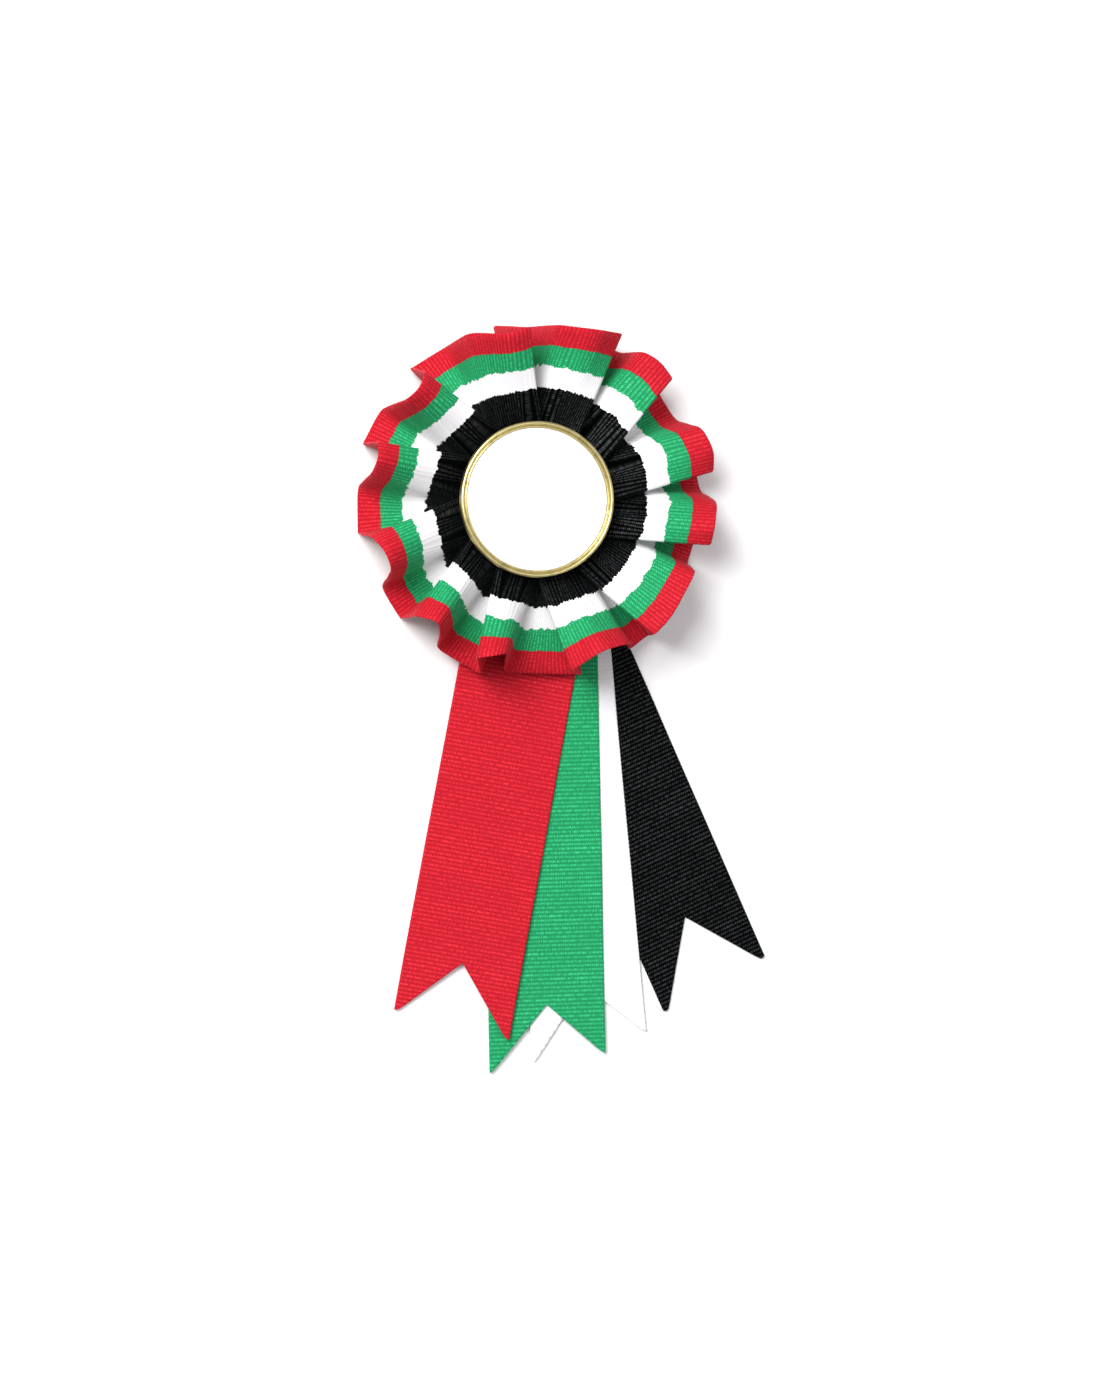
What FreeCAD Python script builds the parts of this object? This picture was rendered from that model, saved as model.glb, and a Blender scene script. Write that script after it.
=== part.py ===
import FreeCAD, Part
import math
import os
import Sketcher

# Ribbon cockade lying on its back: +Z is the face, +Y the top, and the tails run towards -Y.
# The origin is the middle of the brooch bar's flat foot, under the middle of the badge.

doc = FreeCAD.newDocument("ribbon_cockade")

# Driving dimensions in millimetres, and in degrees where the name says angle
driving = [
    ("ribbon_width", 25.0, "one inch ribbon, sold as 25 mm"),
    ("cloth_wall", 1.0, "thickness of a cloth wall"),
    ("cloth_gap", 0.2, "gap between cloth that lies on cloth"),
    ("pleat_gap", 0.3, "gap between the tails and the pleats on them"),
    ("badge_level", 15.7, "underside of the badge above the table"),
    ("badge_radius", 16.45, "outside of the brass rim"),
    ("rim_height", 2.4, "from the underside to the lip"),
    ("rim_lip", 1.3, "width of the lip seen from the front"),
    ("rim_floor", 0.9, "sheet under the insert"),
    ("rim_round", 0.5, "rounding of the lip and the foot"),
    ("post_radius", 4.0, "hidden post between the badge and the backing"),
    ("disc_thickness", 0.7, "white insert"),
    ("disc_slack", 0.1, "gap round the insert"),
    ("back_radius", 15.0, "backing disc"),
    ("back_thickness", 1.0, "backing disc"),
    ("pin_height", 2.4, "brooch bar, from the table to the backing"),
    ("pin_length", 26.0, "brooch bar"),
    ("pin_width", 6.0, "brooch bar"),
    ("pleat_inner_radius", 14.0, "inner edge of the pleated ribbon"),
    ("pleat_center_right", 1.3, "middle of the pleats, to the right of the badge's"),
    ("pleat_center_up", 0.6, "middle of the pleats, above the badge's"),
    ("pleat_inner_angle", 326.0, "first top fold at the inner edge"),
    ("fold_slack", 0.05, "added to the gap inside a fold"),
]

sheet = doc.addObject("Spreadsheet::Sheet", "sizes")
for row, (alias, value, meaning) in enumerate(driving, start=1):
    sheet.set("A%d" % row, meaning)
    sheet.set("B%d" % row, str(value))
    sheet.setAlias("B%d" % row, alias)
doc.recompute()


def size(alias):
    return float(getattr(sheet, alias))


# Levels of the stack, from the table up
layer = size("cloth_wall") + size("cloth_gap")
back_bottom = size("pin_height")
back_top = back_bottom + size("back_thickness")
tail_count = 4
tails_top = back_top + tail_count * layer
pleats_bottom = tails_top + size("pleat_gap")

# The twelve pleats, counter-clockwise from the lower right, each seen at the ribbon's outer edge.
# A pleat rises at its top fold, crosses its ridge, bends down into its valley and turns back
# at a hidden fold that lies past the next top fold by its tuck. Angles are in degrees, heights in mm.
pleat_columns = (
    "fold_angle", "fold_height", "ridge_angle", "ridge_height", "bend_angle", "bend_height",
    "valley_angle", "valley_height", "tuck_angle", "tuck_height", "softness",
)
pleat_rows = [
    (344.6, 19.1, 350.1, 22.5, 358.7, 17.0, 363.1, 2.1, 3.0, 1.0, 0.0),
    (9.1, 12.5, 15.2, 16.4, 23.4, 16.5, 28.0, 1.0, 3.0, 1.0, 0.0),
    (41.8, 15.0, 48.2, 15.3, 54.3, 14.5, 58.0, 2.0, 3.0, 2.0, 0.0),
    (63.3, 15.2, 72.4, 22.5, 84.9, 20.5, 89.9, 1.0, 4.0, 1.0, 0.2),
    (97.4, 25.4, 105.1, 25.8, 114.8, 17.0, 119.4, 1.0, -3.0, 1.0, 0.4),
    (135.6, 21.1, 141.0, 24.5, 146.3, 21.2, 149.3, 1.3, -1.0, 0.8, 0.7),
    (163.1, 19.6, 168.1, 22.1, 173.2, 18.4, 176.4, 2.0, -2.0, 0.8, 0.7),
    (193.5, 17.7, 199.1, 22.3, 205.9, 20.0, 210.8, 0.8, 0.0, 0.8, 0.8),
    (222.6, 19.2, 228.2, 24.3, 232.1, 19.3, 237.5, 4.0, 6.0, 5.7, 0.8),
    (246.5, 21.7, 250.5, 23.8, 255.5, 22.0, 260.5, 5.4, 7.0, 5.2, 0.9),
    (278.5, 21.6, 288.1, 26.0, 300.2, 21.4, 303.8, 5.2, 3.0, 4.6, 0.5),
    (308.5, 21.4, 316.3, 21.8, 333.7, 21.5, 338.9, 1.2, 2.0, 1.0, 0.2),
]
pleats = [dict(zip(pleat_columns, row)) for row in pleat_rows]

# The four tails, from the lowest up. The root is the hidden upper end, the heading leans from -Y
# towards +X, and the lengths run from the root to the left tip, the notch and the right tip.
tail_columns = ("name", "root_x", "root_y", "heading", "left_length", "notch_length", "right_length")
tail_rows = [
    ("black_tail", -1.3, -6.0, 24.2, 108.0, 91.2, 106.6),
    ("white_tail", 4.2, -5.0, 5.5, 114.2, 99.1, 110.4),
    ("green_tail", 3.2, -5.0, 1.2, 116.9, 102.6, 113.5),
    ("red_tail", 4.5, -5.0, -10.6, 107.5, 95.1, 109.6),
]
tails = [dict(zip(tail_columns, row)) for row in tail_rows]

# How far each tail's left edge, middle and right edge sink below their place in the stack,
# at distances from the root, as each settles onto what lies under it. The red one's right edge lifts.
sink_distances = (0.0, 26.0, 55.0, 75.0, 95.0, 116.0)
sink_columns = ("name", "distance", "left", "middle", "right")
sink_rows = [
    ("white_tail", 55.0, 0.5, 0.0, 0.0),
    ("white_tail", 75.0, 0.9, 0.3, 0.0),
    ("white_tail", 95.0, 1.0, 0.75, 0.0),
    ("white_tail", 116.0, 1.05, 1.0, 0.7),
    ("green_tail", 55.0, 0.55, 0.0, 0.0),
    ("green_tail", 75.0, 0.85, 0.35, 0.1),
    ("green_tail", 95.0, 1.13, 0.68, 0.3),
    ("green_tail", 116.0, 1.45, 0.83, 0.7),
    ("red_tail", 55.0, 1.2, 0.35, -0.4),
    ("red_tail", 75.0, 2.2, 0.8, -0.7),
    ("red_tail", 95.0, 2.8, 1.2, -0.7),
    ("red_tail", 116.0, 3.0, 1.6, -0.4),
]
sinks = {(row[0], row[1]): row[2:] for row in sink_rows}
unsunk = (0.0, 0.0, 0.0)

# The stack of tails comes down from the backing to the table between these distances from the middle
stack_leaves = 14.2
stack_lands = 34.0


def polar(angle, radius):
    return FreeCAD.Vector(radius * math.cos(math.radians(angle)), radius * math.sin(math.radians(angle)), 0)


# A line of the ribbon from its inner to its outer edge, at its true length across the width
def rib_line(inner_angle, inner_height, outer_angle, outer_height, power, steps):
    width = size("ribbon_width")
    inner_radius = size("pleat_inner_radius")
    heights = [inner_height + (outer_height - inner_height) * (k / steps) ** power for k in range(steps + 1)]
    reach = [0.0]
    for low, high in zip(heights, heights[1:]):
        reach.append(reach[-1] + math.sqrt((width / steps) ** 2 - (high - low) ** 2))
    turn = math.radians(outer_angle - inner_angle)
    sideways = inner_radius * math.sin(turn)
    outer_radius = inner_radius * math.cos(turn) + math.sqrt(reach[-1] ** 2 - sideways ** 2)
    center = FreeCAD.Vector(size("pleat_center_right"), size("pleat_center_up"), 0)
    start = center + polar(inner_angle, inner_radius)
    end = center + polar(outer_angle, outer_radius)
    line = []
    for height, gone in zip(heights, reach):
        point = start + (end - start) * (gone / reach[-1])
        point.z = height
        line.append(point)
    return line


# The lines of a pleat in order along the ribbon: how far each lies ahead of the top fold at the
# inner edge, how late it climbs or falls on its way out, and how much of its corner is rounded away
# at the inner edge and at the outer edge of a crisp and of a soft pleat
line_columns = ("line", "ahead_angle", "climb_power", "inner_trim", "crisp_trim", "soft_trim", "parts")
line_rows = [
    ("fold_under", 0.0, 1.3, 0.5, 0.55, 1.2, 2),
    ("fold_top", 0.0, 1.3, 0.5, 0.55, 3.0, 2),
    ("ridge", 19.0, 1.2, 1.0, 3.0, 3.0, 2),
    ("bend", 38.0, 1.6, 0.9, 2.8, 3.5, 3),
    ("valley", 44.0, 1.5, 0.6, 3.0, 3.5, 3),
    ("back_low", 50.0, 1.4, 0.5, 0.9, 2.0, 2),
    ("back_high", 50.0, 1.4, 0.5, 0.7, 1.0, 2),
]
line_kinds = [dict(zip(line_columns, row)) for row in line_rows]
back_angle = line_kinds[-1]["ahead_angle"]
back_lift = 1.4
longest_trim = 0.46


# The lines that each pleat is stretched over, in order along the ribbon
def pleat_lines(steps):
    pitch = 360.0 / len(pleats)
    fold_rise = layer + size("fold_slack")
    shingle_slope = 2 * fold_rise / pitch
    top = pleats_bottom + size("cloth_wall") / 2 + shingle_slope * back_angle
    lines = []
    for number, pleat in enumerate(pleats):
        inner = size("pleat_inner_angle") + number * pitch
        wrap = 360.0 if pleat["fold_angle"] < inner - 180 else 0.0
        after_angle = pleats[(number + 1) % len(pleats)]["fold_angle"]
        while after_angle < pleat["fold_angle"] + wrap:
            after_angle += 360.0
        back_outer = after_angle + pleat["tuck_angle"]
        outer_ends = {
            "fold_under": (pleat["fold_angle"] + wrap, pleat["fold_height"] - fold_rise),
            "fold_top": (pleat["fold_angle"] + wrap, pleat["fold_height"]),
            "ridge": (pleat["ridge_angle"] + wrap, pleat["ridge_height"]),
            "bend": (pleat["bend_angle"] + wrap, pleat["bend_height"]),
            "valley": (pleat["valley_angle"] + wrap, pleat["valley_height"]),
            "back_low": (back_outer, pleat["tuck_height"]),
            "back_high": (back_outer, pleat["tuck_height"] + back_lift * fold_rise),
        }
        raised = {"fold_under": -fold_rise, "back_high": fold_rise}
        for kind in line_kinds:
            inner_height = top - shingle_slope * kind["ahead_angle"] + raised.get(kind["line"], 0.0)
            outer_angle, outer_height = outer_ends[kind["line"]]
            points = rib_line(inner + kind["ahead_angle"], inner_height, outer_angle, outer_height,
                              kind["climb_power"], steps)
            lines.append({"points": points, "kind": kind, "softness": pleat["softness"]})
    return lines


# A closed path through the lines at one distance from the inner edge, its corners rounded
def ring_path(lines, step, steps):
    share = step / steps
    count = len(lines)
    path = []
    for number, line in enumerate(lines):
        kind = line["kind"]
        here = line["points"][step]
        before = lines[number - 1]["points"][step] - here
        beyond = lines[(number + 1) % count]["points"][step] - here
        outer_trim = kind["crisp_trim"] + (kind["soft_trim"] - kind["crisp_trim"]) * line["softness"]
        trim = kind["inner_trim"] + (outer_trim - kind["inner_trim"]) * share
        enter = here + before * min(trim / before.Length, longest_trim)
        leave = here + beyond * min(trim / beyond.Length, longest_trim)
        for part in range(kind["parts"] + 1):
            t = part / kind["parts"]
            path.append(enter * (1 - t) ** 2 + here * (2 * t * (1 - t)) + leave * t ** 2)
    return path


# The two faces of a wall around a grid of middle points
def wall_faces(grid, thickness, closed):
    rows, columns = len(grid), len(grid[0])
    top, bottom = [], []
    for r in range(rows):
        top_row, bottom_row = [], []
        for c in range(columns):
            last, following = c - 1, c + 1
            if closed:
                following %= columns
            else:
                last, following = max(last, 0), min(following, columns - 1)
            along = grid[r][following] - grid[r][last]
            across = grid[min(r + 1, rows - 1)][c] - grid[max(r - 1, 0)][c]
            normal = across.cross(along)
            normal.normalize()
            top_row.append(grid[r][c] + normal * (thickness / 2))
            bottom_row.append(grid[r][c] - normal * (thickness / 2))
        top.append(top_row)
        bottom.append(bottom_row)
    return top, bottom


# A closed solid of flat triangles from a wall's two faces
def wall_solid(grid, thickness, closed):
    top, bottom = wall_faces(grid, thickness, closed)
    rows, columns = len(grid), len(grid[0])
    points = [p for row in top for p in row] + [p for row in bottom for p in row]
    under = rows * columns

    def at(r, c, side):
        return side * under + r * columns + c % columns

    triangles = []

    def quad(a, b, c, d):
        triangles.append((a, b, c))
        triangles.append((a, c, d))

    spans = columns if closed else columns - 1
    for c in range(spans):
        for r in range(rows - 1):
            quad(at(r, c, 0), at(r + 1, c, 0), at(r + 1, c + 1, 0), at(r, c + 1, 0))
            quad(at(r, c, 1), at(r, c + 1, 1), at(r + 1, c + 1, 1), at(r + 1, c, 1))
        quad(at(0, c, 0), at(0, c + 1, 0), at(0, c + 1, 1), at(0, c, 1))
        quad(at(rows - 1, c, 0), at(rows - 1, c, 1), at(rows - 1, c + 1, 1), at(rows - 1, c + 1, 0))
    if not closed:
        end = columns - 1
        for r in range(rows - 1):
            quad(at(r, 0, 0), at(r, 0, 1), at(r + 1, 0, 1), at(r + 1, 0, 0))
            quad(at(r, end, 0), at(r + 1, end, 0), at(r + 1, end, 1), at(r, end, 1))
    shell = Part.Shape()
    shell.makeShapeFromMesh((points, triangles), sewing_tolerance)
    solid = Part.makeSolid(Part.Shell(shell.Faces))
    if solid.Volume < 0:
        solid.reverse()
    return solid


ruffle_steps = 5
sewing_tolerance = 0.001


def ruffle_grid(steps):
    lines = pleat_lines(steps)
    return [ring_path(lines, step, steps) for step in range(steps + 1)]


def ease(t):
    t = min(max(t, 0.0), 1.0)
    return t * t * (3 - 2 * t)


# Height of a tail's middle surface at a point, a distance from its root and a place across,
# which runs from 0 at the left edge through 1 in the middle to 2 at the right edge
def drape_height(tail, stack_place, point, distance, place):
    span = 0
    while span < len(sink_distances) - 2 and distance > sink_distances[span + 1]:
        span += 1
    start, end = sink_distances[span], sink_distances[span + 1]
    near, far = [blend(sinks.get((tail["name"], station), unsunk), place) for station in (start, end)]
    sink = near + (far - near) * ease((distance - start) / (end - start))
    high = back_top + size("cloth_gap") + size("cloth_wall") / 2
    low = size("cloth_wall") / 2
    fall = ease((point.Length - stack_leaves) / (stack_lands - stack_leaves))
    return high + (low - high) * fall + stack_place * layer - sink


# The value at a place across, from the values at the left edge, the middle and the right edge
def blend(values, place):
    side = 0 if place <= 1 else 1
    return values[side] + (values[side + 1] - values[side]) * (place - side)


tail_parts_along = 24
tail_parts_across = 6
tail_spacing = 1.25


def tail_grid(tail, stack_place):
    heading = math.radians(tail["heading"])
    down = FreeCAD.Vector(math.sin(heading), -math.cos(heading), 0)
    right = FreeCAD.Vector(math.cos(heading), math.sin(heading), 0)
    root = FreeCAD.Vector(tail["root_x"], tail["root_y"], 0)
    lengths = (tail["left_length"], tail["notch_length"], tail["right_length"])
    grid = []
    for strip in range(tail_parts_across + 1):
        place = 2 * strip / tail_parts_across
        sideways = size("ribbon_width") * (place - 1) / 2
        row = []
        for part in range(tail_parts_along + 1):
            distance = blend(lengths, place) * (part / tail_parts_along) ** tail_spacing
            point = root + down * distance + right * sideways
            point.z = drape_height(tail, stack_place, point, distance, place)
            row.append(point)
        grid.append(row)
    return grid


def add_shape(name, shape):
    thing = doc.addObject("Part::Feature", name)
    thing.Label = name
    thing.Shape = shape
    thing.Placement = FreeCAD.Placement()
    return thing


def add_body(name, height_expression):
    body = doc.addObject("PartDesign::Body", name)
    body.Label = name
    body.setExpression("Placement.Base.z", height_expression)
    return body


def plane_of(body, role):
    return next(item for item in body.Origin.OriginFeatures if item.Role == role)


# A round plate: one circle, padded
def add_plate(name, radius_expression, thickness_expression, height_expression):
    body = add_body(name, height_expression)
    sketch = body.newObject("Sketcher::SketchObject", name + "_outline")
    sketch.AttachmentSupport = [(plane_of(body, "XY_Plane"), "")]
    sketch.MapMode = "FlatFace"
    circle = sketch.addGeometry(Part.Circle(FreeCAD.Vector(), FreeCAD.Vector(0, 0, 1), 10.0))
    sketch.addConstraint(Sketcher.Constraint("Coincident", circle, 3, -1, 1))
    radius = sketch.addConstraint(Sketcher.Constraint("Radius", circle, 10.0))
    sketch.setExpression("Constraints[%d]" % radius, radius_expression)
    pad = body.newObject("PartDesign::Pad", name + "_pad")
    pad.Profile = sketch
    pad.setExpression("Length", thickness_expression)
    return body


# The badge: a spun brass cup with a rounded lip, and the short post behind it
def add_badge_rim():
    name = "badge_rim"
    body = add_body(name, "sizes.badge_level")
    sketch = body.newObject("Sketcher::SketchObject", name + "_profile")
    sketch.AttachmentSupport = [(plane_of(body, "XZ_Plane"), "")]
    sketch.MapMode = "FlatFace"
    lip_radius = "sizes.badge_radius - sizes.rim_lip"
    post_length = "(sizes.badge_level - sizes.pin_height - sizes.back_thickness)"
    profile = [
        (None, "-" + post_length),
        ("sizes.post_radius", "-" + post_length),
        ("sizes.post_radius", None),
        ("sizes.badge_radius", None),
        ("sizes.badge_radius", "sizes.rim_height"),
        (lip_radius, "sizes.rim_height"),
        (lip_radius, "sizes.rim_floor"),
        (None, "sizes.rim_floor"),
    ]
    reach = size("badge_radius")
    inside = reach - size("rim_lip")
    drop = size("badge_level") - back_top
    rough = [(0, -drop), (size("post_radius"), -drop), (size("post_radius"), 0), (reach, 0),
             (reach, size("rim_height")), (inside, size("rim_height")), (inside, size("rim_floor")),
             (0, size("rim_floor"))]
    ends = [FreeCAD.Vector(x, y, 0) for x, y in rough]
    count = len(ends)
    for number, start in enumerate(ends):
        sketch.addGeometry(Part.LineSegment(start, ends[(number + 1) % count]))
    for number in range(count):
        sketch.addConstraint(Sketcher.Constraint("Coincident", number, 2, (number + 1) % count, 1))
    for number, (across, up) in enumerate(profile):
        for kind, axis, expression, value in (("DistanceX", -2, across, rough[number][0]),
                                              ("DistanceY", -1, up, rough[number][1])):
            if expression is None:
                sketch.addConstraint(Sketcher.Constraint("PointOnObject", number, 1, axis))
            else:
                place = sketch.addConstraint(Sketcher.Constraint(kind, -1, 1, number, 1, value))
                sketch.setExpression("Constraints[%d]" % place, expression)
    turned = body.newObject("PartDesign::Revolution", name + "_turned")
    turned.Profile = sketch
    turned.ReferenceAxis = (sketch, ["V_Axis"])
    turned.Angle = 360.0
    doc.recompute()
    rounded = body.newObject("PartDesign::Fillet", name + "_rounded")
    edges = []
    for radius, height in ((reach, 0.0), (reach, size("rim_height")), (inside, size("rim_height"))):
        for number, edge in enumerate(turned.Shape.Edges, start=1):
            round_edge = isinstance(edge.Curve, Part.Circle)
            if round_edge and math.hypot(edge.Curve.Radius - radius, edge.Curve.Center.z - height) < 1e-4:
                edges.append("Edge%d" % number)
    rounded.Base = (turned, edges)
    rounded.setExpression("Radius", "sizes.rim_round")
    body.Tip = rounded
    return body


# The brooch bar: a foot along X with round ends, plain and in one piece with what it hides
def add_brooch_pin():
    name = "brooch_pin"
    body = add_body(name, "0")
    sketch = body.newObject("Sketcher::SketchObject", name + "_outline")
    sketch.AttachmentSupport = [(plane_of(body, "XY_Plane"), "")]
    sketch.MapMode = "FlatFace"
    half = (size("pin_length") - size("pin_width")) / 2
    radius = size("pin_width") / 2
    up = FreeCAD.Vector(0, 0, 1)
    quarter = math.pi / 2
    right_end = Part.ArcOfCircle(Part.Circle(FreeCAD.Vector(half, 0, 0), up, radius), -quarter, quarter)
    left_end = Part.ArcOfCircle(Part.Circle(FreeCAD.Vector(-half, 0, 0), up, radius), quarter, 3 * quarter)
    right = sketch.addGeometry(right_end)
    left = sketch.addGeometry(left_end)
    tops = (FreeCAD.Vector(half, radius, 0), FreeCAD.Vector(-half, radius, 0))
    feet = (FreeCAD.Vector(-half, -radius, 0), FreeCAD.Vector(half, -radius, 0))
    upper = sketch.addGeometry(Part.LineSegment(*tops))
    lower = sketch.addGeometry(Part.LineSegment(*feet))
    for one, one_end, other, other_end in ((right, 2, upper, 1), (upper, 2, left, 1),
                                           (left, 2, lower, 1), (lower, 2, right, 1)):
        sketch.addConstraint(Sketcher.Constraint("Tangent", one, one_end, other, other_end))
    sketch.addConstraint(Sketcher.Constraint("PointOnObject", right, 3, -1))
    sketch.addConstraint(Sketcher.Constraint("Symmetric", right, 3, left, 3, -1, 1))
    width = sketch.addConstraint(Sketcher.Constraint("Radius", right, radius))
    sketch.setExpression("Constraints[%d]" % width, "sizes.pin_width / 2")
    reach = sketch.addConstraint(Sketcher.Constraint("DistanceX", -1, 1, right, 3, half))
    sketch.setExpression("Constraints[%d]" % reach, "(sizes.pin_length - sizes.pin_width) / 2")
    pad = body.newObject("PartDesign::Pad", name + "_pad")
    pad.Profile = sketch
    pad.setExpression("Length", "sizes.pin_height")
    return body


parts = [
    add_brooch_pin(),
    add_plate("back_disc", "sizes.back_radius", "sizes.back_thickness", "sizes.pin_height"),
    add_badge_rim(),
    add_plate("badge_disc", "sizes.badge_radius - sizes.rim_lip - sizes.disc_slack", "sizes.disc_thickness",
              "sizes.badge_level + sizes.rim_floor"),
    add_shape("ruffle", wall_solid(ruffle_grid(ruffle_steps), size("cloth_wall"), True)),
]
for stack_place, tail in enumerate(tails):
    parts.append(add_shape(tail["name"], wall_solid(tail_grid(tail, stack_place), size("cloth_wall"), False)))

doc.recompute()
for thing in doc.Objects:
    if "Invalid" in thing.State or "Error" in thing.State:
        raise RuntimeError("%s is %s" % (thing.Label, thing.State))
for thing in parts:
    if thing.Shape.isNull() or not thing.Shape.isValid():
        raise RuntimeError("%s has no valid shape" % thing.Label)

os.makedirs("parts", exist_ok=True)
for thing in parts:
    thing.Shape.exportStep("parts/%s.step" % thing.Label)
    box = thing.Shape.BoundBox
    print("%-12s %8.1f mm3  x %.1f..%.1f  y %.1f..%.1f  z %.2f..%.2f" % (
        thing.Label, thing.Shape.Volume, box.XMin, box.XMax, box.YMin, box.YMax, box.ZMin, box.ZMax))
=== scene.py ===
import math
import bmesh
import bpy
import numpy as np
from mathutils import Matrix, Vector, noise


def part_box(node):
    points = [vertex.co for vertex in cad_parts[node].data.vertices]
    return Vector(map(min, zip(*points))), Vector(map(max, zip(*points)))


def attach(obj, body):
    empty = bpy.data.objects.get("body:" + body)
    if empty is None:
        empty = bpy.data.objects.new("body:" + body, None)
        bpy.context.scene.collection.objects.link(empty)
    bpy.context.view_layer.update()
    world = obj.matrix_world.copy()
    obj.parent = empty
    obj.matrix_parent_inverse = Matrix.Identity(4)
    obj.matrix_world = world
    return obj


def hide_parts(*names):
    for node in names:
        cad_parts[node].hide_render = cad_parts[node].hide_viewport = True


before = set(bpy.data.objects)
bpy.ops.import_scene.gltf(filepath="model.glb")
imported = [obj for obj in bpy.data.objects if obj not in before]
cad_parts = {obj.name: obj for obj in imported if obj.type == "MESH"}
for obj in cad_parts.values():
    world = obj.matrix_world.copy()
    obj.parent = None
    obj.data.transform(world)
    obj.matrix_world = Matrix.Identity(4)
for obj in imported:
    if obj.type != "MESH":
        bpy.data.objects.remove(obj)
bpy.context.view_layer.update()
print("frame loaded")

mm = 0.001  # every table below is in millimetres and degrees
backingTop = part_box("back_disc")[1].z / mm

weave = {
    "width": 25.0,
    "wall": 0.45,  # grosgrain is a little under half a millimetre thick
    "ribSpacing": 0.9,
    "columnsPerRib": 4,
    "ribHeight": 0.08,
    "ribVariation": (0.5, 1.4),
    "seed": 7,
    "weld": 0.001,  # points this near are one point
}


def linearColor(hexCode):
    channels = [int(hexCode[i:i + 2], 16) / 255 for i in (1, 3, 5)]
    return [c / 12.92 if c <= 0.04045 else ((c + 0.055) / 1.055) ** 2.4 for c in channels] + [1.0]


# Adds a node with its settings. An input is linked when its value is an output, or a node, whose first
# output is then meant
def addNode(tree, kind, settings=None, inputs=None):
    node = tree.nodes.new(kind)
    for name, value in (settings or {}).items():
        setattr(node, name, value)
    for socket, value in (inputs or {}).items():
        if isinstance(value, bpy.types.Node):
            value = value.outputs[0]
        if isinstance(value, bpy.types.NodeSocket):
            tree.links.new(value, node.inputs[socket])
        else:
            node.inputs[socket].default_value = value
    return node


def newMaterial(name):
    material = bpy.data.materials.new(name)
    material.use_nodes = True
    material.node_tree.nodes.clear()
    return material, material.node_tree


grosgrain = {
    "threadSpacing": 0.48,  # fine warp threads, drawn coarser than the real ones so that they show
    "threadDepth": 0.06,
    "threadSlant": 0.17,  # how much of the pattern is the even slant of the warp, and not chance
    "threadRange": (0.28, 0.7),  # how much of the chance shows
    "threadWeakest": 0.2,  # how bright the dimmest thread, rib and patch are
    "ribWeakest": 0.84,
    "patchWeakest": 0.85,
    "patchRange": (0.35, 0.65),
    "grooveToCrest": (-1.0, 0.6),  # the part of a rib's wave that brightens: painted shade in the grooves, painted highlight on the crests
    "edgeWander": 1.4,  # how far the line between two colors strays in the course of a few ribs
    "edgeStep": 0.22,  # from one rib to the next
    "edgeTooth": 0.1,  # and within a rib
    "edgeCalm": 0.4,  # share of the three that is left between green and red
    "calmBetween": (16.5, 19.0),  # where it turns calm, from the ribbon's inner edge
    # sharpens the painted crest highlight against the painted groove shade, and the thread, rib and patch tone
    # with it
    "crestSharpness": 1.8,
    "seam": (0.12, 0.55),  # painted shade where green meets red and the threads dip: how wide, and how bright
    "roughness": 0.5,
    "sheen": 0.02,
    "reliefStrength": 0.7,
    "shine": 0.41,  # smooth filament shines on the crests, most where the dye is deep
}
grosgrainNoises = {  # cells in a rib and in a millimetre across, and octaves
    "edge": ((0.38, 0.1), 1.0),
    "thread": ((0.8, 1 / grosgrain["threadSpacing"]), 2.0),
    "patch": ((0.13, 0.12), 3.0),
}
dyesAndGrooveShade = {  # color on the crest of a rib, with black's made lighter than the dye as a painted highlight, and how much of it the painted groove shade and dim threads take away
    "black": ("#262b2c", 0.97),
    "white": ("#f6f5f7", 0.05),
    "green": ("#3cd88b", 0.62),
    "red": ("#f52d3e", 0.5),
}
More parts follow.
